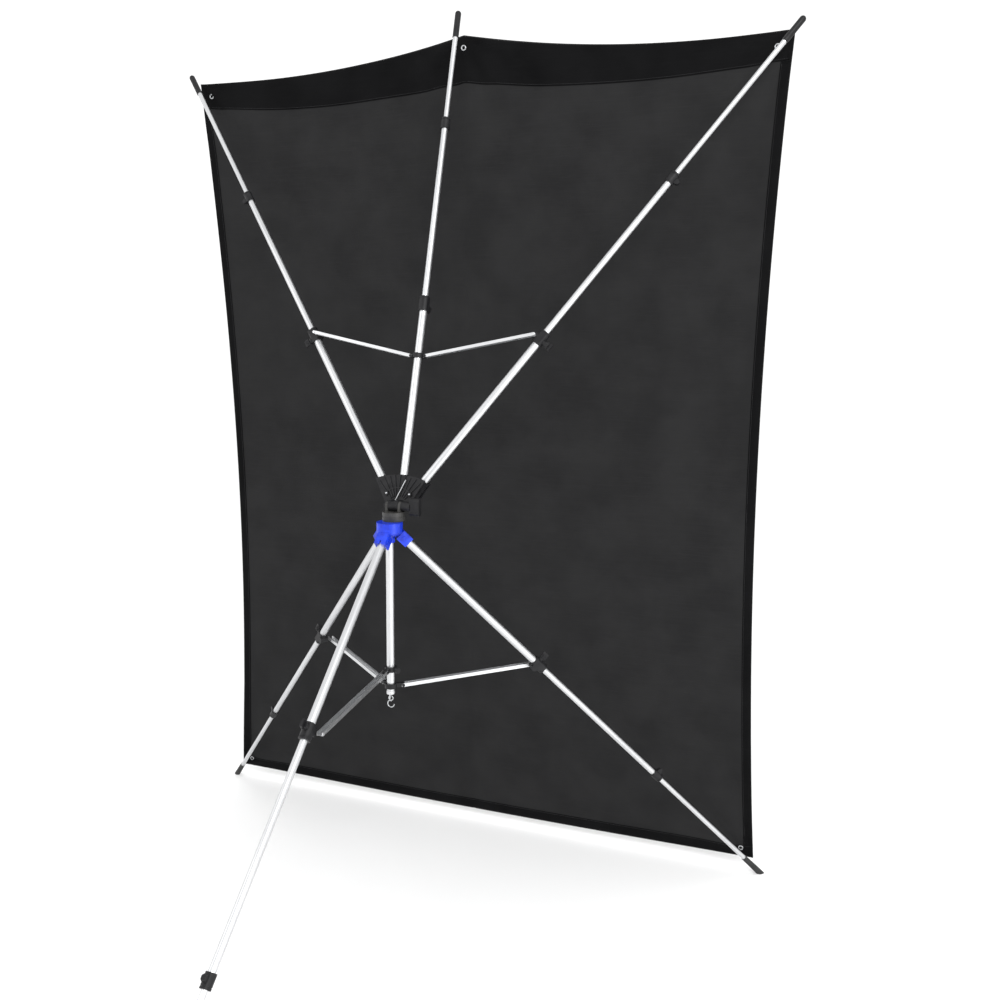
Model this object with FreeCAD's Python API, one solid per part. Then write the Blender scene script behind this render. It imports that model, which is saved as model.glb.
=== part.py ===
import FreeCAD, Part
import math
import os

# Portable backdrop stand: a tripod with a tilting head, three telescopic arms that fan out
# of the head, and a dark cloth stretched between the arm tips and the two front feet.
# Millimetres. +Z is up, the cloth faces -Y, "left" and "right" are as seen from behind (+X is left).
# Everything is laid out about the column's axis first. The finished set is then moved along Y,
# so that the origin is on the floor in the middle of the outline.

V = FreeCAD.Vector
X, Y, Z = V(1, 0, 0), V(0, 1, 0), V(0, 0, 1)

# Tubes: outer radius of each section, wall, and how deep a section sits in the one before it
TUBE_R = (8.8, 7.2, 5.8)
WALL = (1.2, 1.0, 1.0)
INSERT = 45.0
THIRD_LENGTH = 471.0
SLIP = 0.15            # radial gap between a lock's lip and the tube that slides in it
SEAT = 0.05            # radial gap between a lock or sleeve and the tube it is fixed on
RUN = 0.08             # radial gap of a pin or slider that turns or slides

# Tripod
COLUMN_BOTTOM = 583.0
COLUMN_TOP = 962.0
PIVOT_RADIUS = 30.0
PIVOT_HEIGHT = 935.0
FRONT_AZIMUTH = 56.5   # degrees either side of straight ahead (-Y)
FRONT_SPREAD = 45.0    # degrees from the vertical
REAR_SPREAD = 47.0
LEG_ENDS = (457.0, 895.0)        # distance from the pivot to the end of sections 1 and 2
LEG_TUBE_START = -6.0
FRONT_THIRD_END = 1261.3
FOOT_LENGTH = 61.0
FOOT_R = 7.8
FRONT_SLIDER_Z = 594.0
REAR_SLIDER_Z = 633.5
SLIDER_R = 13.5
SLIDER_HEIGHT = 11.0
SLIDER_PIN_RADIUS = 28.0         # strut pin to column axis
EYE_DROP = 14.0                  # hook eye below the column tube
HOOK_DROP = 18.6                 # middle of the hook's bend below its eye

# Struts and spreaders: folded channels, pinned to an ear at the inner end and beside a lock at the outer
STRUT_WIDTH = 12.5
STRUT_DEPTH = 8.0
SPREADER_WIDTH = 9.6
SPREADER_DEPTH = 7.0
SHEET = 1.25
PIN_R = 2.0
PIN_IN = 11.5                    # outer strut pin: towards the inside of the leg or arm
PIN_BACK = 12.0                  # and back from the section's end

# Locks
LOCK1_R, LOCK1_BACK, LOCK1_FRONT = 12.4, 24.0, 10.0
LOCK2_R, LOCK2_BACK, LOCK2_FRONT = 10.2, 18.0, 8.0
LOCK_FLAT = 10.2                 # half thickness across a lock's two flats
STRUT_GAP = 4.8                  # between a strut and the lock that it passes in folding

# Head and arms
TILT_AXIS = V(0, -25, 1003)
RING_CENTRE = V(0, -20, 981)
RING_R, RING_HEIGHT = 25.0, 20.0
ARM_PIVOT = V(26.7, -61.0, 1022.0)
SIDE_DIRECTION = V(1.0, -0.475, 1.363)
CENTRE_START = V(0, -63.6, 1023.5)
CENTRE_DIRECTION = V(0, -0.294, 1.0)
SOCKET_LENGTH = 43.0
SOCKET_HALF = 11.0
ARM_TUBE_START = 15.0
SIDE_ENDS = (460.0, 906.0, 1289.0)
CENTRE_ENDS = (450.0, 886.5, 1112.0)
CAP_LENGTH = 53.0
CAP_R = 7.3
ARM_SLIDER_AT = 320.0
ARM_SLIDER_PIN = 17.0
ARM_SLIDER_R = 12.4
PLATE_GAP = 15.0                 # head plate's inner face to the arm plane
PLATE = 3.5

# Cloth: a flat panel whose edges pull in between its corners
CLOTH_THICK = 1.2
CLOTH_BOTTOM = V(785, -540, 34)
CLOTH_TOP = V(773, -431, 2045)
CLOTH_PEAK_Z = 2098.0
CLOTH_SIDE_PULL = 50.0
CLOTH_TOP_PULL = 26.0
CLOTH_BOTTOM_SAG = 14.0

pieces = {}


def unit(v):
    return V(v.x, v.y, v.z).normalize()


def frame(origin, along, out):
    """Placement whose +Z is along, whose +X is the part of out square to it, and whose +Y is along x out."""
    z = unit(along)
    x = unit(out - z * out.dot(z))
    y = z.cross(x)
    m = FreeCAD.Matrix(x.x, y.x, z.x, origin.x, x.y, y.y, z.y, origin.y, x.z, y.z, z.z, origin.z, 0, 0, 0, 1)
    return FreeCAD.Placement(m)


def put(shape, placement):
    shape = shape.copy()
    shape.Placement = placement.multiply(shape.Placement)
    return shape


def rod(r, z0, z1, centre=V(0, 0, 0)):
    return Part.makeCylinder(r, z1 - z0, centre + Z * z0, Z)


def pin(r, start, axis, length):
    return Part.makeCylinder(r, length, start, axis)


def box(x0, x1, y0, y1, z0, z1):
    return Part.makeBox(x1 - x0, y1 - y0, z1 - z0, V(x0, y0, z0))


def tube(r, wall, z0, z1):
    return rod(r, z0, z1).cut(rod(r - wall, z0 - 1, z1 + 1))


def prism(points, height_axis, low, high):
    """Straight-sided solid on a closed outline, from low to high along height_axis."""
    face = Part.Face(Part.makePolygon(points + points[:1]))
    face.translate(height_axis * low)
    return face.extrude(height_axis * (high - low))


def keep(name, *solids):
    pieces[name] = solids[0] if len(solids) == 1 else Part.makeCompound(list(solids))


# Telescopic members


def lock(r_outer, back, front, r_fixed, r_slide, ear, lug):
    """Collar on the end of one section, with a lip round the next, an inner ear and an outer screw lug."""
    body = rod(r_outer, -back, front)
    if ear:
        body = body.fuse(pin(8.0, V(-PIN_IN, -LOCK_FLAT, -PIN_BACK), Y, 2 * LOCK_FLAT))
        body = body.fuse(box(-PIN_IN, 0, -LOCK_FLAT, LOCK_FLAT, -PIN_BACK - 8, -PIN_BACK + 8))
    body = body.fuse(lug)
    body = body.cut(rod(r_fixed + SEAT, -back - 1, 0))
    body = body.cut(rod(r_slide + SLIP, -1, front + 1))
    for side in (-1, 1):
        body = body.cut(box(-40, 40, LOCK_FLAT if side > 0 else -40, 40 if side > 0 else -LOCK_FLAT, -60, 60))
    groove = rod(r_outer + 1, front - 5.2, front - 4.0).cut(rod(r_outer - 0.8, front - 6, front - 3))
    return body.cut(groove).removeSplitter()


def first_lock(ear):
    lug = pin(6.5, V(0, 0, -12), X, 17.0)
    shape = lock(LOCK1_R, LOCK1_BACK, LOCK1_FRONT, TUBE_R[0], TUBE_R[1], ear, lug)
    return shape.cut(pin(2.5 + RUN, V(9.5, 0, -12), X, 10.0))


def second_lock():
    lug = box(0, 15.5, -4.0, 4.0, -13.0, -1.0).fuse(pin(5.0, V(15.5, -4.0, -7.0), Y, 8.0))
    return lock(LOCK2_R, LOCK2_BACK, LOCK2_FRONT, TUBE_R[1], TUBE_R[2], False, lug)


def lock_knob():
    """Thumb screw: a fluted head with a wing, on a stem that turns in the lock's lug."""
    head = pin(8.5, V(17.4, 0, -12), X, 8.0)
    for i in range(8):
        a = math.radians(45 * i)
        centre = V(17, 9.6 * math.cos(a), -12 + 9.6 * math.sin(a))
        head = head.cut(pin(2.2, centre, X, 9.0))
    wing = box(25.0, 32.0, -2.2, 2.2, -20.0, -4.0)
    stem = pin(2.5, V(10.2, 0, -12), X, 8.0)
    return head.fuse(wing).fuse(stem).removeSplitter()


def tip_cap(length):
    """Plastic cap over a section's end, with a rounded nose."""
    body = rod(CAP_R, -14, length - CAP_R)
    body = body.fuse(Part.makeSphere(CAP_R, V(0, 0, length - CAP_R)))
    return body.cut(rod(TUBE_R[2] + SEAT, -15, 0))


def telescope(name, place, start, ends, ear):
    """Three nested tubes with a lock on the first two. place has its +Z along the member."""
    end1, end2, end3 = ends
    at1 = place.multiply(FreeCAD.Placement(V(0, 0, end1), FreeCAD.Rotation()))
    at2 = place.multiply(FreeCAD.Placement(V(0, 0, end2), FreeCAD.Rotation()))
    keep(name + "_tube_1", put(tube(TUBE_R[0], WALL[0], start, end1), place))
    keep(name + "_lock_1", put(first_lock(ear), at1))
    keep(name + "_knob_1", put(lock_knob(), at1))
    keep(name + "_tube_2", put(tube(TUBE_R[1], WALL[1], end1 - INSERT, end2), place))
    keep(name + "_lock_2", put(second_lock(), at2))
    keep(name + "_tube_3", put(tube(TUBE_R[2], WALL[2], end3 - THIRD_LENGTH, end3), place))


# Tripod


def leg_frame(azimuth, spread):
    """Frame at a leg's pivot: +Z down the leg, +X square to it on the outside, +Y the hinge axis."""
    a, s = math.radians(azimuth), math.radians(spread)
    flat = V(math.sin(a), -math.cos(a), 0)
    origin = flat * PIVOT_RADIUS + Z * PIVOT_HEIGHT
    return frame(origin, flat * math.sin(s) - Z * math.cos(s), flat * math.cos(s) + Z * math.sin(s))


def rear_third_end():
    return PIVOT_HEIGHT / math.cos(math.radians(REAR_SPREAD)) - FOOT_LENGTH


LEGS = {
    "left_leg": (FRONT_AZIMUTH, FRONT_SPREAD, FRONT_THIRD_END, 1),
    "right_leg": (-FRONT_AZIMUTH, FRONT_SPREAD, FRONT_THIRD_END, -1),
    "rear_leg": (180.0, REAR_SPREAD, rear_third_end(), -1),
}


def foot(place, end):
    """Rubber foot, cut off level with the floor."""
    body = Part.makeCone(FOOT_R - 1.0, FOOT_R, FOOT_LENGTH, V(0, 0, end - 10), Z)
    body = body.fuse(rod(FOOT_R, end + FOOT_LENGTH - 10, end + FOOT_LENGTH + 20))
    for i in range(3):
        z = end + 12 + 9 * i
        body = body.cut(rod(FOOT_R + 2, z, z + 2).cut(rod(FOOT_R - 1.3, z - 1, z + 3)))
    body = body.cut(rod(TUBE_R[2] + SEAT, end - 11, end))
    body = put(body, place)
    return body.cut(box(-2000, 2000, -2000, 2000, -300, 0))


def leg(name, azimuth, spread, end3):
    place = leg_frame(azimuth, spread)
    telescope(name, place, LEG_TUBE_START, LEG_ENDS + (end3,), True)
    hole = put(pin(3.0 + RUN, V(0, -20, 0), Y, 40), place)
    pieces[name + "_tube_1"] = pieces[name + "_tube_1"].cut(hole)
    keep(name + "_foot", foot(place, end3))


def crown():
    """Hub on the column's top, with a slotted bracket and a hinge pin for each leg."""
    body = rod(12.2, 926, 968).fuse(rod(29.0, 948, 970.8)).fuse(Part.makeCone(24.0, 29.0, 5, Z * 943, Z))
    slots = []
    for azimuth, spread, _, _ in LEGS.values():
        place = leg_frame(azimuth, spread)
        body = body.fuse(put(box(-12, 12.6, -13.4, 13.4, -12, 16), place))
        swept = rod(9.2, -14, 60).fuse(box(-60, 0, -9.2, 9.2, -14, 60)).fuse(pin(11.2, V(0, -9.2, 0), Y, 18.4))
        swept = swept.fuse(box(0, 40, -1.8, 1.8, 8, 60))
        slots.append(put(swept, place).cut(rod(15.0, 800, 1000)))
    for slot in slots:
        body = body.cut(slot)
    for azimuth, spread, _, _ in LEGS.values():
        place = leg_frame(azimuth, spread)
        bolt = pin(3.0, V(0, -15.2, 0), Y, 30.4).fuse(pin(4.8, V(0, -15.4, 0), Y, 2.1))
        bolt = bolt.fuse(pin(4.8, V(0, 13.3, 0), Y, 2.1))
        body = body.fuse(put(bolt, place))
    body = body.cut(rod(TUBE_R[0] + SEAT, 890, COLUMN_TOP)).removeSplitter()
    keep("crown", max(body.Solids, key=lambda solid: solid.Volume))


def column():
    """Column tube, and the plug with an eye that closes its lower end."""
    low = COLUMN_BOTTOM
    keep_tube = tube(TUBE_R[0], WALL[0], low, COLUMN_TOP - 0.2)
    plug = rod(9.6, low - 8, low - 0.1).fuse(rod(TUBE_R[0] - WALL[0] - SEAT, low - 1, low + 12))
    eye = box(-1.1, 1.1, -5.5, 5.5, low - EYE_DROP - 5.2, low - 7)
    plug = plug.fuse(eye).cut(pin(3.2, V(-5, 0, low - EYE_DROP), X, 10))
    keep("column", keep_tube, plug.removeSplitter())


def ballast_hook():
    """Open wire hook that swings in the plug's eye."""
    r, top = 1.3, COLUMN_BOTTOM - EYE_DROP
    ring = Part.makeTorus(5.2, r, V(0, 0, top - 5.2), Y)
    shank = rod(r, top - 12.9, top - 10.0)
    bend = Part.makeTorus(8.0, r, V(0, 0, top - HOOK_DROP), Y)
    bend = bend.cut(box(-20, 0, -5, 5, top - HOOK_DROP, top))
    return ring.fuse(shank).fuse(bend).removeSplitter()


def slider(radius, axis_frame, height, ears, screw_out):
    """Ring that slides on a tube. ears holds frames whose +X points to the strut pin and +Y is its axis."""
    body = put(rod(radius, -height / 2, height / 2), axis_frame)
    for place, reach, half in ears:
        ear = box(9, reach, -half, half, -5, 5).fuse(pin(5.0, V(reach, -half, 0), Y, 2 * half))
        body = body.fuse(put(ear, place))
    if screw_out is not None:
        body = body.fuse(put(pin(4.0, V(8, 0, 0), X, 12.0).fuse(pin(6.0, V(18, 0, 0), X, 7.0)), screw_out))
    body = body.cut(put(rod(TUBE_R[0] + RUN, -height, height), axis_frame))
    for place, reach, half in ears:
        side = half + 2 * SHEET
        bolt = pin(PIN_R, V(reach, -side - 1.2, 0), Y, 2 * side + 2.4)
        for end in (-side - 1.2, side):
            bolt = bolt.fuse(pin(3.4, V(reach, end, 0), Y, 1.2))
        body = body.fuse(put(bolt, place))
    return body.removeSplitter()


def strut_ear_half(width):
    return width / 2 - 2 * SHEET + 0.35


def channel(width, depth, length, side_step):
    """Straight folded channel along +Z, open towards +X, slanting by side_step along +Y over its length."""
    slant = side_step / length

    def wall(inner, outer, low):
        ends = ((inner, low), (inner, length + 5.0), (outer, length + 5.0), (outer, low))
        return [V(0, y + slant * z, z) for y, z in ends]

    half = width / 2
    body = prism(wall(half - SHEET, half, -5.0), X, -depth / 2, depth / 2)
    body = body.fuse(prism(wall(-half, -half + SHEET, -5.0), X, -depth / 2, depth / 2))
    body = body.fuse(prism(wall(-half, half, 11.0), X, -depth / 2, -depth / 2 + SHEET))
    for z, way in ((0.0, -1), (length, 1)):
        middle = slant * z
        outside = box(-depth, depth, middle - width, middle + width, min(z, z + 9 * way), max(z, z + 9 * way))
        body = body.cut(outside.cut(pin(depth / 2, V(0, middle - width, z), Y, 2 * width)))
    body = body.cut(pin(PIN_R + RUN, V(0, -width, 0), Y, 2 * width))
    far = side_step + math.copysign(half - 0.3, side_step)
    head = pin(3.2, V(0, min(far, far + math.copysign(1.5, side_step)), length), Y, 1.5)
    return body.fuse(head).removeSplitter()


def linkage(name, width, depth, inner, outer_frame, end, side, axis):
    """Channel from its inner pin to a point beside the lock at end, square to the hinge axis."""
    target = outer_frame.multVec(V(-PIN_IN, 0, end - PIN_BACK))
    step = side * (LOCK_FLAT + STRUT_GAP + width / 2)
    reach = target - inner
    level = reach.dot(axis)
    flat = reach - axis * level
    place = frame(inner, flat, axis.cross(flat))
    keep(name, put(channel(width, depth, flat.Length, step + level), place))


def tripod():
    crown()
    column()
    keep("ballast_hook", ballast_hook())
    for name, (azimuth, spread, end3, _) in LEGS.items():
        leg(name, azimuth, spread, end3)
    ears = {}
    for name, (azimuth, spread, _, side) in LEGS.items():
        height = REAR_SLIDER_Z if name == "rear_leg" else FRONT_SLIDER_Z
        a = math.radians(azimuth)
        out = V(math.sin(a), -math.cos(a), 0)
        ear = frame(Z * height, Z * -1, out)
        ears[name] = (ear, SLIDER_PIN_RADIUS, strut_ear_half(STRUT_WIDTH))
        axis = leg_frame(azimuth, spread).Rotation.multVec(Y)
        linkage(name + "_strut", STRUT_WIDTH, STRUT_DEPTH, Z * height + out * SLIDER_PIN_RADIUS,
                leg_frame(azimuth, spread), LEG_ENDS[0], side, axis)
    front = frame(Z * FRONT_SLIDER_Z, Z, X)
    rear = frame(Z * REAR_SLIDER_Z, Z, X)
    keep("front_slider", slider(SLIDER_R, front, SLIDER_HEIGHT, [ears["left_leg"], ears["right_leg"]], None))
    keep("rear_slider", slider(SLIDER_R, rear, SLIDER_HEIGHT, [ears["rear_leg"]],
                               frame(Z * REAR_SLIDER_Z, Z, V(-1, 0.35, 0))))


# Head and arms


def side_frame(sign):
    """Frame at a side arm's pivot: +Z along the arm, +X square to it on the outside, +Y the hinge axis."""
    direction = V(sign * SIDE_DIRECTION.x, SIDE_DIRECTION.y, SIDE_DIRECTION.z)
    return frame(V(sign * ARM_PIVOT.x, ARM_PIVOT.y, ARM_PIVOT.z), direction, unit(CENTRE_DIRECTION) * -1)


def centre_frame():
    """Frame at the centre arm's root: +Z along the arm, +X to the front."""
    return frame(CENTRE_START, CENTRE_DIRECTION, V(0, -1, 0))


def fan_frame():
    """Frame of the head's plates: +X left, +Y to the rear and square to the arms, +Z along the centre arm."""
    up = unit(CENTRE_DIRECTION)
    return frame(CENTRE_START - up * 21.0, up, X)


def socket():
    """Ribbed end fitting that holds an arm's first tube and turns on a pin."""
    h = SOCKET_HALF
    body = box(-h, h, -h, h, 0, SOCKET_LENGTH).fuse(pin(h, V(0, -h, 0), Y, 2 * h))
    for i in range(3):
        z = 16 + 8 * i
        ring = box(-h - 1, h + 1, -h - 1, h + 1, z, z + 2.5)
        body = body.cut(ring.cut(box(-h + 1, h - 1, -h + 1, h - 1, z - 1, z + 4)))
    body = body.cut(rod(TUBE_R[0] + SEAT, ARM_TUBE_START, SOCKET_LENGTH + 1))
    return body.cut(pin(3.0 + RUN, V(0, -20, 0), Y, 40))


def fan_plate(low, high):
    """Plate whose outline opens upwards like a fan, with a curved upper edge."""
    left, right = V(61, 0, 52), V(-61, 0, 52)
    top = Part.Arc(left, V(0, 0, 62), right).toShape()
    lower = [right, V(-28, 0, -6), V(-24, 0, -12), V(24, 0, -12), V(28, 0, -6), left]
    edges = [top] + [Part.makeLine(a, b) for a, b in zip(lower, lower[1:])]
    face = Part.Face(Part.Wire(edges))
    face.translate(Y * low)
    return face.extrude(Y * (high - low))


def head():
    place = fan_frame()
    outer = PLATE_GAP + PLATE
    body = fan_plate(-outer, -PLATE_GAP).fuse(fan_plate(PLATE_GAP, outer))
    body = body.fuse(box(-24, 24, -outer, outer, -12, 6))
    for i in range(9):
        angle = 10.5 * (i - 4)
        rib = box(-1.3, 1.3, outer - 1, outer + 2.2, 14, 62 if abs(i - 4) < 3 else 66)
        rib.rotate(V(0, 0, -10), Y, angle)
        body = body.fuse(rib)
    band = Part.makeCylinder(44, 3.2, V(0, outer - 1, -10), Y).cut(Part.makeCylinder(41.5, 5, V(0, outer - 2, -10), Y))
    body = body.fuse(band.common(box(-30, 30, 0, 40, 0, 60)))
    body = put(body, place)
    lug = pin(11.5, TILT_AXIS - X * 12, X, 24)
    neck = box(-12, 12, TILT_AXIS.y - 17, TILT_AXIS.y, TILT_AXIS.z - 8, TILT_AXIS.z + 11)
    body = body.fuse(lug).fuse(neck)
    for sign in (-1, 1):
        hinge = pin(3.0, V(0, -outer - 2, 0), Y, 2 * outer + 4).fuse(pin(5.0, V(0, outer - 0.5, 0), Y, 3.0))
        body = body.fuse(put(hinge.fuse(pin(5.0, V(0, -outer - 2.5, 0), Y, 3.0)), side_frame(sign)))
    body = body.fuse(put(pin(3.0, V(-outer, 0, 0), X, 2 * outer), centre_frame()))
    body = body.cut(pin(4.0 + RUN, TILT_AXIS - X * 30, X, 60))
    keep("head_bracket", body.removeSplitter())


def tilt_base():
    """Ring on the crown with two ears for the tilt bolt."""
    body = rod(RING_R, -RING_HEIGHT / 2, RING_HEIGHT / 2, RING_CENTRE)
    groove = rod(RING_R + 1, -1.0, 1.0, RING_CENTRE).cut(rod(RING_R - 0.8, -2, 2, RING_CENTRE))
    body = body.cut(groove)
    for sign in (-1, 1):
        start = TILT_AXIS + X * (12.3 if sign > 0 else -18.3)
        ear = pin(10.4, start, X, 6.0)
        foot_block = box(start.x, start.x + 6, TILT_AXIS.y - 10.4, TILT_AXIS.y + 10.4, 985, TILT_AXIS.z)
        body = body.fuse(ear).fuse(foot_block)
    body = body.cut(pin(4.0 + RUN, TILT_AXIS - X * 40, X, 80))
    keep("tilt_base", body.removeSplitter())


def tilt_knob():
    """Bolt through the head's lug, with a wide wing knob on the right and a nut on the left."""
    bolt = pin(4.0, TILT_AXIS - X * 40, X, 63)
    boss = pin(10.5, TILT_AXIS - X * 40, X, 21.4)
    nut = pin(7.0, TILT_AXIS + X * 18.6, X, 5)
    wing = box(-62, -38, TILT_AXIS.y - 7, TILT_AXIS.y + 7, TILT_AXIS.z - 13, TILT_AXIS.z + 13)
    for dz in (-13, 13):
        wing = wing.fuse(pin(7.0, V(-62, TILT_AXIS.y, TILT_AXIS.z + dz), X, 24))
    keep("tilt_knob", bolt.fuse(boss).fuse(nut).fuse(wing).removeSplitter())


def arms():
    up = unit(CENTRE_DIRECTION)
    slider_at = CENTRE_START + up * ARM_SLIDER_AT
    ears = []
    for name, sign in (("left_arm", 1), ("right_arm", -1)):
        place = side_frame(sign)
        keep(name + "_socket", put(socket(), place))
        telescope(name, place, ARM_TUBE_START, SIDE_ENDS, True)
        keep(name + "_cap", put(tip_cap(CAP_LENGTH), place.multiply(
            FreeCAD.Placement(V(0, 0, SIDE_ENDS[2]), FreeCAD.Rotation()))))
        axis = place.Rotation.multVec(Y)
        out = unit(axis.cross(up)) * 1.0
        ears.append((frame(slider_at, axis.cross(out) * -1, out), ARM_SLIDER_PIN,
                     strut_ear_half(SPREADER_WIDTH)))
        linkage(name + "_spreader", SPREADER_WIDTH, SPREADER_DEPTH, slider_at + out * ARM_SLIDER_PIN,
                place, SIDE_ENDS[0], sign, axis)
    place = centre_frame()
    keep("centre_arm_socket", put(socket(), place.multiply(
        FreeCAD.Placement(V(0, 0, 0), FreeCAD.Rotation(Z, 90)))))
    telescope("centre_arm", place, ARM_TUBE_START, CENTRE_ENDS, False)
    keep("centre_arm_cap", put(tip_cap(CAP_LENGTH), place.multiply(
        FreeCAD.Placement(V(0, 0, CENTRE_ENDS[2]), FreeCAD.Rotation()))))
    keep("arm_slider", slider(ARM_SLIDER_R, frame(slider_at, up, X), SLIDER_HEIGHT, ears, None))


def backdrop():
    """Closed panel in the sloping plane of the cloth, with pulled-in edges."""
    slope = (CLOTH_TOP.y - CLOTH_BOTTOM.y) / (CLOTH_TOP.z - CLOTH_BOTTOM.z)

    def at(x, z):
        return V(x, CLOTH_BOTTOM.y + slope * (z - CLOTH_BOTTOM.z), z)

    bx, bz, tx, tz = CLOTH_BOTTOM.x, CLOTH_BOTTOM.z, CLOTH_TOP.x, CLOTH_TOP.z
    mid_z = (bz + tz) / 2
    side_x = (bx + tx) / 2 - CLOTH_SIDE_PULL
    peak = at(0, CLOTH_PEAK_Z)
    arcs = [
        Part.Arc(at(bx, bz), at(side_x, mid_z), at(tx, tz)),
        Part.Arc(at(tx, tz), at(tx / 2, (tz + CLOTH_PEAK_Z) / 2 - CLOTH_TOP_PULL), peak),
        Part.Arc(peak, at(-tx / 2, (tz + CLOTH_PEAK_Z) / 2 - CLOTH_TOP_PULL), at(-tx, tz)),
        Part.Arc(at(-tx, tz), at(-side_x, mid_z), at(-bx, bz)),
        Part.Arc(at(-bx, bz), at(0, bz - CLOTH_BOTTOM_SAG), at(bx, bz)),
    ]
    face = Part.Face(Part.Wire([a.toShape() for a in arcs]))
    front = unit(V(0, -1, slope))
    keep("backdrop", face.extrude(front * CLOTH_THICK))


def build():
    tripod()
    tilt_base()
    tilt_knob()
    head()
    arms()
    backdrop()
    extent = [pieces[name].optimalBoundingBox(False) for name in ("left_leg_foot", "rear_leg_foot", "backdrop")]
    shift = V(0, -(min(b.YMin for b in extent) + max(b.YMax for b in extent)) / 2, 0)
    os.makedirs("parts", exist_ok=True)
    for name, shape in pieces.items():
        shape.translate(shift)
        shape.exportStep("parts/" + name + ".step")
    return shift


SHIFT = build()
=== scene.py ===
import math

import bmesh
import bpy
import numpy as np
from mathutils import Matrix, Vector


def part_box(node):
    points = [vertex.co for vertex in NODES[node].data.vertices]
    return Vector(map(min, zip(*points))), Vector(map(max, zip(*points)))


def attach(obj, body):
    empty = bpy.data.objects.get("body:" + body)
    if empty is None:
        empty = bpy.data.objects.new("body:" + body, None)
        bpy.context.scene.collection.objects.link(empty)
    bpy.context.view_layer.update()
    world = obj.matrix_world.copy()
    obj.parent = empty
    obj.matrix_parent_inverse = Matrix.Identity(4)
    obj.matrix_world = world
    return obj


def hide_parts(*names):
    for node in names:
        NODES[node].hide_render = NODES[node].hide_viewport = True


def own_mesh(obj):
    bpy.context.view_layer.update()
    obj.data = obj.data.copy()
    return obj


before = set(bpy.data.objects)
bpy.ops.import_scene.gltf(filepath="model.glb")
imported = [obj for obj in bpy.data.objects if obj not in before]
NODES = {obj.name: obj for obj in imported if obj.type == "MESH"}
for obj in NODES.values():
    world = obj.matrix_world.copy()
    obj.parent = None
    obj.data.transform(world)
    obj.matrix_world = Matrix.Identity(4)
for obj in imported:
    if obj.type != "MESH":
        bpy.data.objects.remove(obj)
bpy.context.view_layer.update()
column_low, column_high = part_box("column")
AXIS_Y = (column_low.y + column_high.y) / 2      # the column's axis; heights are above the floor

# Cloth, in metres: corners and peak as in the CAD, and how far each edge is pulled in
BOTTOM = Vector((0.785, -0.540, 0.034))
TOP = Vector((0.773, -0.431, 2.045))
PEAK_Z = 2.098
LEFT_PULL, RIGHT_PULL, TOP_PULL, BOTTOM_SAG = 0.048, 0.036, 0.026, 0.006
CLOTH_THICK = 0.0008
HEM_THICK = 0.0007
HEM_PROUD = 0.0012               # hems stand behind the cloth's middle plane
HEM_PUFF = 0.0011
HEM_CORNER, HEM_CENTRE, HEM_SIDE, HEM_BOTTOM = 0.064, 0.108, 0.024, 0.03
SLOPE = (TOP.y - BOTTOM.y) / (TOP.z - BOTTOM.z)
FRONT = Vector((0, -1, SLOPE)).normalized()

# Folds of the cloth, in metres unless they are counts
TENSION_FOLDS = 11               # folds in one turn about a fixing
TENSION_HEIGHT = 0.060
TENSION_REACH = 0.17
CORNER_PUSH = 0.007              # keeps the top corners clear of the arm tips behind them
CORNER_REACH = 0.07
SOFT_HEIGHT = 0.0016
DIAGONAL_HEIGHT = 0.0022
DIAGONAL_AT = (-0.42, 1.72)
CREASE_EVERY = 0.76
CREASE_HEIGHT = 0.0012
CREASE_WIDTH = 0.006

# Head, as in the CAD, in metres
ARM_PIVOT = Vector((0.0267, -0.061, 1.022))
ARM_DIRECTION = Vector((1.0, -0.475, 1.363))
CENTRE_START = Vector((0, -0.0636, 1.0235))
CENTRE_DIRECTION = Vector((0, -0.294, 1.0))
RIVET_OUT = 0.0211               # from an arm's pivot to its rivet head


# Materials


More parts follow.
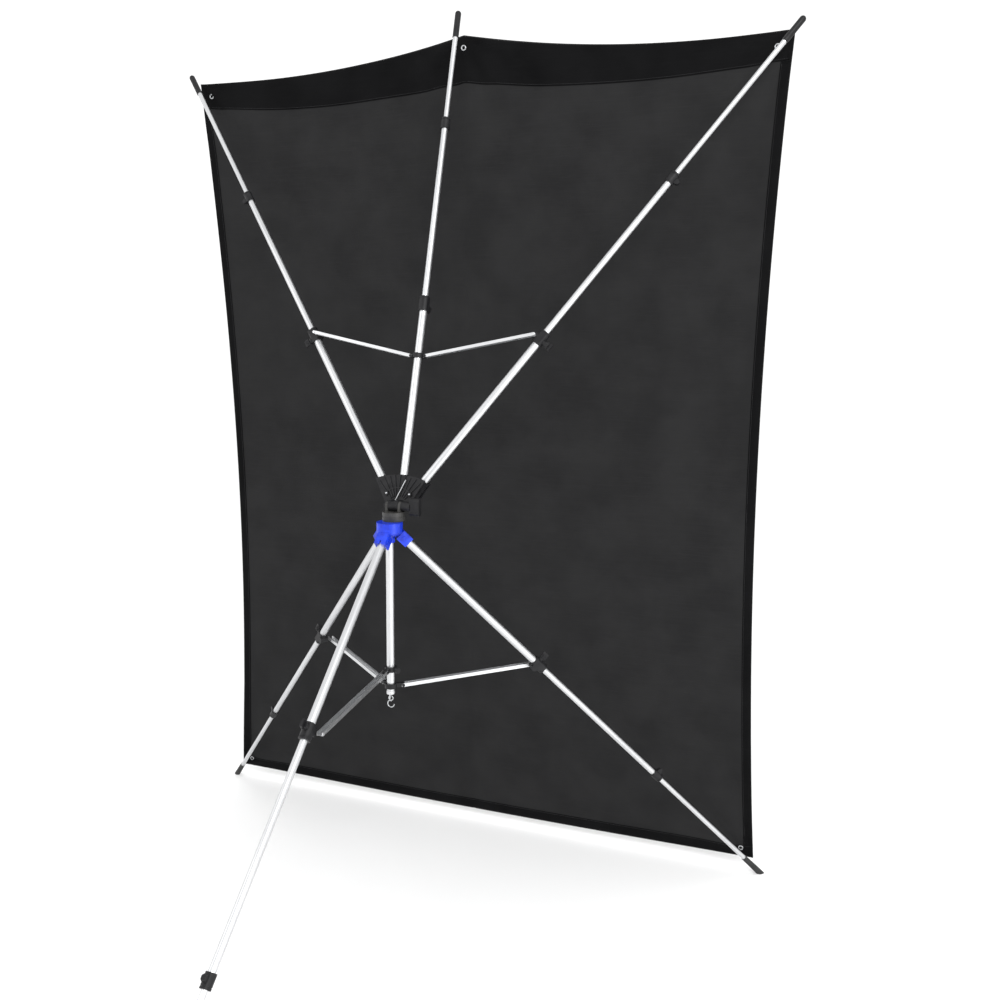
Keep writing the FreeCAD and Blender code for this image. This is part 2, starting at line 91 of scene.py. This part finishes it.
class Graph:
    """A material's node tree, with short helpers."""

    def __init__(self, name):
        self.material = bpy.data.materials.new(name)
        self.material.use_nodes = True
        self.tree = self.material.node_tree
        self.shader = self.tree.nodes["Principled BSDF"]

    def node(self, kind, inputs=None, **settings):
        n = self.tree.nodes.new(kind)
        for key, value in settings.items():
            setattr(n, key, value)
        for key, value in (inputs or {}).items():
            if isinstance(value, bpy.types.NodeSocket):
                self.tree.links.new(value, n.inputs[key])
            else:
                n.inputs[key].default_value = value
        return n

    def coordinates(self, turn=(0, 0, 0), scale=(1, 1, 1)):
        place = self.node("ShaderNodeTexCoord").outputs["Object"]
        turned = self.node("ShaderNodeMapping", {"Vector": place, "Rotation": turn}).outputs[0]
        return self.node("ShaderNodeMapping", {"Vector": turned, "Scale": scale}).outputs[0]

    def noise(self, vector, scale, detail=3.0, rough=0.55):
        given = {"Vector": vector, "Scale": scale, "Detail": detail, "Roughness": rough}
        return self.node("ShaderNodeTexNoise", given).outputs[0]

    def remap(self, value, low, high, start=0.3, end=0.7):
        given = {"Value": value, "From Min": start, "From Max": end, "To Min": low, "To Max": high}
        return self.node("ShaderNodeMapRange", given).outputs[0]

    def blend(self, factor, a, b):
        n = self.node("ShaderNodeMix", data_type="RGBA")
        self.tree.links.new(factor, n.inputs[0])
        for socket, value in ((n.inputs[6], a), (n.inputs[7], b)):
            if isinstance(value, bpy.types.NodeSocket):
                self.tree.links.new(value, socket)
            else:
                socket.default_value = (*value, 1)
        return n.outputs[2]

    def math(self, operation, a, b):
        n = self.node("ShaderNodeMath", operation=operation)
        for socket, value in zip(n.inputs, (a, b)):
            if isinstance(value, bpy.types.NodeSocket):
                self.tree.links.new(value, socket)
            else:
                socket.default_value = value
        return n.outputs[0]

    def bump(self, height, strength, distance, normal=None):
        given = {"Height": height, "Strength": strength, "Distance": distance}
        if normal is not None:
            given["Normal"] = normal
        return self.node("ShaderNodeBump", given).outputs[0]

    def set(self, **sockets):
        for key, value in sockets.items():
            socket = self.shader.inputs[key.replace("_", " ")]
            if isinstance(value, bpy.types.NodeSocket):
                self.tree.links.new(value, socket)
            else:
                socket.default_value = value
        return self.material


def direction_of(node):
    """Unit vector along a long CAD node."""
    co = np.array([v.co for v in NODES[node].data.vertices])
    axis = np.linalg.svd(co - co.mean(0), full_matrices=False)[2][0]
    return Vector(axis if axis[2] > 0 else -axis)


def aluminium(name, along):
    """Satin drawn tube: fine lengthwise lines, slight cloudiness and a few handling scuffs."""
    g = Graph(name)
    turn = along.to_track_quat("Z", "Y").inverted().to_euler("XYZ")
    lines = g.noise(g.coordinates(turn, (1500, 1500, 9)), 1.0, 4.0)
    cloud = g.noise(g.coordinates(turn, (60, 60, 7)), 1.0, 3.0)
    scuffs = g.noise(g.coordinates(turn, (420, 420, 160)), 1.0, 2.0)
    tone = g.blend(g.remap(cloud, 0, 1), (0.60, 0.605, 0.615), (0.74, 0.745, 0.75))
    tone = g.blend(g.remap(lines, 0.0, 0.45), tone, (0.40, 0.41, 0.43))
    rough = g.math("ADD", g.remap(lines, 0.27, 0.40), g.remap(scuffs, 0.0, 0.12, 0.58, 0.72))
    return g.set(Base_Color=tone, Metallic=0.92, Roughness=rough, Normal=g.bump(lines, 0.22, 0.00006))


def moulded(name, dark, light, rough, grain=1900.0, coat=0.0, gloss=0.5):
    """Moulded plastic: fine grain, soft mottling and faint rubbed patches."""
    g = Graph(name)
    at = g.coordinates()
    mottle = g.noise(at, 55.0, 4.0)
    rub = g.noise(at, 16.0, 5.0, 0.65)
    fine = g.noise(at, grain, 2.0)
    tone = g.blend(g.remap(mottle, 0, 1), dark, light)
    tone = g.blend(g.remap(rub, 0, 0.35, 0.56, 0.75), tone, tuple(min(1.0, 1.6 * c + 0.012) for c in light))
    roughness = g.math("ADD", g.remap(rub, rough - 0.07, rough + 0.07), g.remap(fine, -0.03, 0.03))
    return g.set(Base_Color=tone, Roughness=roughness, Coat_Weight=coat, Coat_Roughness=0.25,
                 Specular_IOR_Level=gloss, Normal=g.bump(fine, 0.25, 0.00012))


def wire_metal():
    g = Graph("zinc_wire")
    at = g.coordinates()
    spangle = g.noise(at, 380.0, 3.0)
    tone = g.blend(g.remap(spangle, 0, 1), (0.33, 0.34, 0.35), (0.56, 0.57, 0.58))
    return g.set(Base_Color=tone, Metallic=1.0, Roughness=g.remap(spangle, 0.22, 0.36),
                 Normal=g.bump(spangle, 0.15, 0.00008))


def woven(name, dark, light, pitch, gloss, sheen):
    """Black plain-woven cloth: crossing threads, slubs, painted soft shade between folds and a light sheen.
    """
    g = Graph(name)
    at = g.coordinates()
    fold_ripple_and_painted_shade = g.noise(at, 9.0, 4.0)
    slub = g.noise(g.coordinates((0, 0, 0), (14, 14, 900)), 1.0, 2.0)
    warp = g.node("ShaderNodeTexWave", {"Vector": at, "Scale": 1 / pitch, "Distortion": 0.6, "Detail": 1.0},
                  bands_direction="X").outputs[1]
    weft = g.node("ShaderNodeTexWave", {"Vector": at, "Scale": 1 / pitch, "Distortion": 0.6, "Detail": 1.0},
                  bands_direction="Z").outputs[1]
    threads = g.math("MAXIMUM", warp, weft)
    lint = g.noise(at, 700.0, 2.0)
    # painted shade: the colour goes darker in the hollows of the same noise that bumps the folds
    tone = g.blend(g.remap(fold_ripple_and_painted_shade, 0, 1, 0.35, 0.65), dark, light)
    tone = g.blend(g.remap(threads, 0.35, 0.0, 0.1, 0.9), tone, tuple(0.45 * c for c in dark))
    tone = g.blend(g.remap(slub, 0, 0.25, 0.5, 0.75), tone, tuple(1.5 * c for c in light))
    normal = g.bump(threads, 0.35, 0.00025)
    normal = g.bump(lint, 0.2, 0.0002, normal)
    normal = g.bump(fold_ripple_and_painted_shade, 0.35, 0.004, normal)
    return g.set(Base_Color=tone, Roughness=g.remap(fold_ripple_and_painted_shade, 0.62, 0.78), Sheen_Weight=sheen,
                 Sheen_Roughness=0.45, Specular_IOR_Level=gloss, Normal=normal)


def floor_material():
    g = Graph("studio_floor")
    at = g.coordinates()
    tone = g.blend(g.remap(g.noise(at, 1.3, 4.0), 0, 1), (0.93, 0.93, 0.93), (0.95, 0.95, 0.95))
    return g.set(Base_Color=tone, Roughness=0.75)


BLACK = moulded("black_moulding", (0.006, 0.006, 0.007), (0.014, 0.014, 0.015), 0.46, gloss=0.22)
GREY = moulded("grey_moulding", (0.022, 0.022, 0.021), (0.045, 0.044, 0.042), 0.40, gloss=0.35)
BLUE = moulded("blue_moulding", (0.004, 0.018, 0.34), (0.010, 0.050, 0.68), 0.36, 1500.0, 0.15, 0.30)
RUBBER = moulded("black_rubber", (0.010, 0.010, 0.010), (0.020, 0.020, 0.020), 0.72, 900.0)
METAL = wire_metal()
CLOTH = woven("black_cloth", (0.0105, 0.0105, 0.0110), (0.0165, 0.0165, 0.0170), 0.0011, 0.10, 0.04)
# The hem is the same woven cloth as the body, given a darker colour: painted shade.
HEM = woven("black_cloth_hem_painted_shade", (0.0036, 0.0036, 0.0039), (0.0060, 0.0060, 0.0064), 0.0011, 0.03, 0.01)
THREAD = moulded("hem_thread", (0.022, 0.022, 0.024), (0.034, 0.034, 0.037), 0.7)


def dress(node, material):
    slots = NODES[node].data.materials
    if not slots:
        slots.append(material)
    for i in range(len(slots)):
        slots[i] = material


for node in sorted(NODES):
    if "_tube_" in node or node == "column" or node.endswith("strut") or node.endswith("spreader"):
        dress(node, aluminium("drawn_" + node, direction_of(node)))
    elif node == "crown":
        dress(node, BLUE)
    elif node == "tilt_base":
        dress(node, GREY)
    elif node == "ballast_hook":
        dress(node, METAL)
    elif node.endswith("_foot"):
        dress(node, RUBBER)
    elif node != "backdrop":
        dress(node, BLACK)


# Cloth


def slack(x, z):
    """How far the cloth stands in front of its flat plane: folds from the five fixings, and soft folds."""
    fixings = [(TOP.x, TOP.z), (-TOP.x, TOP.z), (0, PEAK_Z), (BOTTOM.x, BOTTOM.z), (-BOTTOM.x, BOTTOM.z)]
    out = np.zeros_like(x)
    for i, (fx, fz) in enumerate(fixings):
        r = np.hypot(x - fx, z - fz)
        turn = np.arctan2(z - fz, x - fx)
        fold = np.cos(TENSION_FOLDS * turn + 1.3 * i) * r * np.exp(-r / TENSION_REACH)
        out += TENSION_HEIGHT * fold
        if i < 2:
            out += CORNER_PUSH * np.exp(-(r / CORNER_REACH) ** 2)
    soft = np.sin(2 * np.pi * (x * 2.9 + 0.16 * np.sin(2.1 * z + 0.6)) + 0.7)
    soft += 0.6 * np.sin(2 * np.pi * (x * 5.3 + 0.22 * np.sin(1.4 * z)) + 2.1)
    middle = np.clip((z - BOTTOM.z) / 0.5, 0, 1) * np.clip((PEAK_Z - z) / 0.35, 0, 1)
    out += SOFT_HEIGHT * soft * middle
    near = np.exp(-((x - DIAGONAL_AT[0]) ** 2 + (z - DIAGONAL_AT[1]) ** 2) / 0.05)
    out += DIAGONAL_HEIGHT * np.sin(2 * np.pi * (x * 3.1 - z * 4.2) + 0.4) * near
    creases = np.abs(((x + CREASE_EVERY / 2) % CREASE_EVERY) - CREASE_EVERY / 2)
    out += CREASE_HEIGHT * np.exp(-creases / CREASE_WIDTH)
    return out


def outline(u, v):
    """Point of the cloth's plane, with pulled-in edges: u runs from 0 at +X to 1 at -X, v from 0 up to 1."""
    across = 1 - 2 * u
    half = BOTTOM.x + (TOP.x - BOTTOM.x) * v
    pull = (RIGHT_PULL + (LEFT_PULL - RIGHT_PULL) * (1 - u)) * 4 * v * (1 - v)
    x = across * (half - pull)
    low = BOTTOM.z - BOTTOM_SAG * (1 - across ** 2)
    part = np.abs(across)
    high = PEAK_Z + (TOP.z - PEAK_Z) * part - TOP_PULL * 4 * part * (1 - part)
    return x, low + (high - low) * v


def placed(x, z, proud):
    y = AXIS_Y + BOTTOM.y + SLOPE * (z - BOTTOM.z)
    base = np.stack([x, y, z], -1)
    return base + np.array(FRONT) * (slack(x, z) + proud)[..., None]


def grid_piece(name, points, material, thickness):
    """Closed thin sheet from a grid of points, with its rim closed."""
    rows, cols = points.shape[:2]
    step_u = np.gradient(points, axis=1)
    step_v = np.gradient(points, axis=0)
    normal = np.cross(step_u, step_v)
    normal /= np.linalg.norm(normal, axis=-1, keepdims=True)
    if (normal @ np.array(FRONT)).mean() < 0:
        normal = -normal
    half = normal * thickness / 2
    verts = np.concatenate([(points + half).reshape(-1, 3), (points - half).reshape(-1, 3)])
    index = np.arange(rows * cols).reshape(rows, cols)
    quads = np.stack([index[:-1, :-1], index[:-1, 1:], index[1:, 1:], index[1:, :-1]], -1).reshape(-1, 4)
    back = quads[:, ::-1] + rows * cols
    rim = np.concatenate([index[0, :], index[1:, -1], index[-1, -2::-1], index[-2:0:-1, 0]])
    after = np.roll(rim, -1)
    sides = np.stack([after, rim, rim + rows * cols, after + rows * cols], -1)
    mesh = bpy.data.meshes.new(name)
    mesh.from_pydata(verts.tolist(), [], np.concatenate([quads, back, sides]).tolist())
    mesh.validate()
    tidy = bmesh.new()
    tidy.from_mesh(mesh)
    bmesh.ops.recalc_face_normals(tidy, faces=tidy.faces)
    tidy.to_mesh(mesh)
    tidy.free()
    return finished(name, mesh, material)


def finished(name, mesh, material):
    mesh.materials.append(material)
    for face in mesh.polygons:
        face.use_smooth = True
    piece = bpy.data.objects.new(name, mesh)
    bpy.context.scene.collection.objects.link(piece)
    return piece


def hem_low(u):
    """v of the top hem's lower edge, which is straighter than the cloth's top edge."""
    return 1 - (HEM_CORNER + (HEM_CENTRE - HEM_CORNER) * (1 - np.abs(1 - 2 * np.asarray(u)))) / HEIGHT


def band(name, us, vs, low=None):
    """Hem: a strip over part of the cloth, standing behind it with its middle a little puffed.
    With low, vs run from low(u) at 0 to the top at 1."""
    u, v = np.meshgrid(us, vs)
    if low is not None:
        v = low(u) + (1 - low(u)) * v
    x, z = outline(u, v)
    across_v = np.linspace(0, 1, len(vs))[:, None] * np.ones_like(v)
    across_u = (u - u.min()) / max(u.max() - u.min(), 1e-9)
    across = across_v if (us[-1] - us[0]) > 0.5 else across_u
    puff = HEM_PUFF * np.sin(np.pi * across) ** 0.6
    return grid_piece(name, placed(x, z, -(HEM_PROUD + puff)), HEM, HEM_THICK)


HEIGHT, WIDTH = PEAK_Z - BOTTOM.z, 2 * BOTTOM.x
u, v = np.meshgrid(np.linspace(0, 1, 221), np.linspace(0, 1, 261))
cloth = grid_piece("backdrop_cloth", placed(*outline(u, v), 0.0), CLOTH, CLOTH_THICK)
edge_u, side_top = HEM_SIDE / WIDTH, float(hem_low(0)) - 0.001
hems = [
    band("top_hem", np.linspace(0.001, 0.999, 221), np.linspace(0, 0.97, 15), hem_low),
    band("bottom_hem", np.linspace(0.001, 0.999, 221), np.linspace(0.0012, HEM_BOTTOM / HEIGHT, 7)),
    band("left_hem", np.linspace(0.0012, edge_u, 6), np.linspace(0.016, side_top, 241)),
    band("right_hem", np.linspace(1 - edge_u, 0.9988, 6), np.linspace(0.016, side_top, 241)),
]


def on_cloth(u0, v0, proud):
    x, z = outline(np.array([u0]), np.array([v0]))
    return Vector(placed(x, z, proud)[0])


def stitches(name, path, proud):
    """Row of lock stitches along a path of (u, v) points, each a short rounded dash."""
    bm = bmesh.new()
    points = [on_cloth(a, b, -proud) for a, b in path]
    spacing, length, radius = 0.0042, 0.0028, 0.00035
    carry = 0.0
    for a, b in zip(points, points[1:]):
        run = (b - a).length
        along = (b - a) / run
        side = along.cross(FRONT)
        while carry < run:
            middle = a + along * carry
            ring = []
            for s, r in ((-0.5, 0.4), (-0.25, 1.0), (0.25, 1.0), (0.5, 0.4)):
                centre = middle + along * length * s
                ring.append([bm.verts.new(centre + (side * math.cos(t) - FRONT * math.sin(t)) * radius * r)
                             for t in (0, math.pi / 2, math.pi, 3 * math.pi / 2)])
            for p, q in zip(ring, ring[1:]):
                for i in range(4):
                    bm.faces.new((p[i], p[(i + 1) % 4], q[(i + 1) % 4], q[i]))
            bm.faces.new(ring[0][::-1])
            bm.faces.new(ring[-1])
            carry += spacing
        carry -= run
    bmesh.ops.recalc_face_normals(bm, faces=bm.faces)
    mesh = bpy.data.meshes.new(name)
    bm.to_mesh(mesh)
    bm.free()
    return finished(name, mesh, THREAD)


inner_u = edge_u - 0.0016
rows = [
    stitches("top_stitches",
             [(t, float(hem_low(t)) + 0.0018) for t in np.linspace(0.006, 0.994, 121)], 0.0022),
    stitches("left_stitches", [(inner_u, t) for t in np.linspace(0.02, side_top, 120)], 0.0020),
    stitches("right_stitches", [(1 - inner_u, t) for t in np.linspace(0.02, side_top, 120)], 0.0020),
    stitches("bottom_stitches",
             [(t, HEM_BOTTOM / HEIGHT - 0.0012) for t in np.linspace(0.006, 0.994, 120)], 0.0020),
]


def lathe(name, profile, at, axis, material, steps=32):
    """Turned piece: profile is (radius, height) pairs, height along axis from at."""
    turn = Vector(axis).normalized().to_track_quat("Z", "Y").to_matrix()
    verts, faces = [], []
    for r, h in profile:
        for i in range(steps):
            t = 2 * math.pi * i / steps
            verts.append(Vector(at) + turn @ Vector((r * math.cos(t), r * math.sin(t), h)))
    for k in range(len(profile) - 1):
        for i in range(steps):
            j = (i + 1) % steps
            faces.append((k * steps + i, k * steps + j, (k + 1) * steps + j, (k + 1) * steps + i))
    if profile[0] != profile[-1]:
        faces.append(tuple(range(steps))[::-1])
        faces.append(tuple((len(profile) - 1) * steps + i for i in range(steps)))
    else:
        last = (len(profile) - 1) * steps
        faces = [tuple(f - last if f >= last else f for f in face) for face in faces]
        verts = verts[:last]
    mesh = bpy.data.meshes.new(name)
    mesh.from_pydata([tuple(p) for p in verts], [], faces)
    tidy = bmesh.new()
    tidy.from_mesh(mesh)
    bmesh.ops.recalc_face_normals(tidy, faces=tidy.faces)
    tidy.to_mesh(mesh)
    tidy.free()
    return finished(name, mesh, material)


# Grommet's section: radius and height
RING = [(0.0036, 0.0), (0.0039, 0.0009), (0.0048, 0.0013), (0.0062, 0.0011), (0.0068, 0.0003),
        (0.0068, 0.0), (0.0036, 0.0)]
grommets = []
for name, gu, gv in (("left_top", 0.022, 0.984), ("right_top", 0.978, 0.984), ("centre_top", 0.5, 0.986),
                     ("left_bottom", 0.020, 0.012), ("right_bottom", 0.980, 0.012)):
    grommets.append(lathe("grommet_" + name, RING, on_cloth(gu, gv, -0.0034), -FRONT, METAL))

for piece in [cloth] + hems + rows + grommets:
    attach(piece, "head")
    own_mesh(piece)
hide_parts("backdrop")


# Small metal parts

DOME = [(0.0005, 0.0017), (0.0016, 0.0015), (0.0026, 0.0011), (0.0033, 0.0004), (0.0034, -0.0002)]


def dome(name, at, axis, body, scale):
    """Domed rivet head, facing along axis."""
    profile = [(r * scale, h * scale) for r, h in DOME]
    piece = lathe(name, profile, at, axis, METAL, 24)
    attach(piece, body)


def hub_point(x, back, up):
    """Point of the head: back is behind the arms' plane, up is along the centre arm, from its pin."""
    rise = CENTRE_DIRECTION.normalized()
    rear = Vector((0, rise.z, -rise.y))
    return Vector((x, AXIS_Y + CENTRE_START.y, CENTRE_START.z)) + rear * back + rise * up


for side, sign in (("left", 1), ("right", -1)):
    pivot = Vector((sign * ARM_PIVOT.x, AXIS_Y + ARM_PIVOT.y, ARM_PIVOT.z))
    direction = Vector((sign * ARM_DIRECTION.x, ARM_DIRECTION.y, ARM_DIRECTION.z))
    normal = sign * direction.cross(-CENTRE_DIRECTION).normalized()
    dome("hub_rivet_" + side, pivot + normal * RIVET_OUT, normal, "head", 0.7)


def wire(name, points, radius, material, body):
    """Round wire through a few points, as a mesh."""
    curve = bpy.data.curves.new(name, "CURVE")
    curve.dimensions = "3D"
    curve.bevel_depth = radius
    curve.bevel_resolution = 4
    curve.use_fill_caps = True
    spline = curve.splines.new("POLY")
    spline.points.add(len(points) - 1)
    for p, q in zip(spline.points, points):
        p.co = (*q, 1)
    holder = bpy.data.objects.new(name + "_curve", curve)
    bpy.context.scene.collection.objects.link(holder)
    bpy.context.view_layer.update()
    mesh = bpy.data.meshes.new_from_object(holder.evaluated_get(bpy.context.evaluated_depsgraph_get()))
    bpy.data.objects.remove(holder)
    mesh.name = name
    mesh.materials.clear()
    piece = finished(name, mesh, material)
    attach(piece, body)


wire("hub_rod", [hub_point(-0.016, 0.0225, 0.030), hub_point(0.009, 0.0225, -0.030)], 0.0012,
     METAL, "head")

# Floor, light and camera

floor = bpy.data.meshes.new("floor")
floor.from_pydata([(-300, -400, 0), (300, -400, 0), (300, 200, 0), (-300, 200, 0)], [], [(0, 1, 2, 3)])
floor.materials.append(floor_material())
floor = bpy.data.objects.new("floor", floor)
bpy.context.scene.collection.objects.link(floor)

world = bpy.data.worlds.new("studio")
bpy.context.scene.world = world
world.use_nodes = True
world.node_tree.nodes["Background"].inputs[0].default_value = (1, 1, 1, 1)
world.node_tree.nodes["Background"].inputs[1].default_value = 1.12


def area_light(name, at, target, size, power):
    light = bpy.data.lights.new(name, "AREA")
    light.shape = "RECTANGLE"
    light.size, light.size_y = size
    light.energy = power
    holder = bpy.data.objects.new(name, light)
    holder.location = at
    holder.rotation_euler = (Vector(target) - Vector(at)).to_track_quat("-Z", "Y").to_euler()
    bpy.context.scene.collection.objects.link(holder)


area_light("key", (-2.6, 2.6, 3.4), (0, -0.4, 1.0), (2.2, 2.2), 110)
area_light("fill", (3.0, 2.4, 2.4), (0, -0.4, 1.1), (2.5, 2.5), 30)
area_light("low_side", (-2.4, 0.9, 0.7), (-0.45, -0.5, 0.9), (1.2, 1.2), 14)

# Camera: place, turn and lens
camera_data = bpy.data.cameras.new("camera")
camera_data.sensor_width = 36.0
camera_data.lens = 33.59
camera_data.shift_y = -0.002
camera = bpy.data.objects.new("camera", camera_data)
bpy.context.scene.collection.objects.link(camera)
CAMERA_TURN = Vector((0.3905230, -2.2157756, 1.8799433))      # axis, as long as the angle in radians
CAMERA_AT = (-0.8954, 1.8222 + AXIS_Y, 1.3642)
look = Matrix.Rotation(CAMERA_TURN.length, 3, CAMERA_TURN.normalized())
right, down, forward = look[0], look[1], look[2]
turn = Matrix((right, -down, -forward)).transposed()
camera.matrix_world = Matrix.Translation(CAMERA_AT) @ turn.to_4x4()
bpy.context.scene.camera = camera
bpy.context.scene.view_settings.view_transform = "Standard"
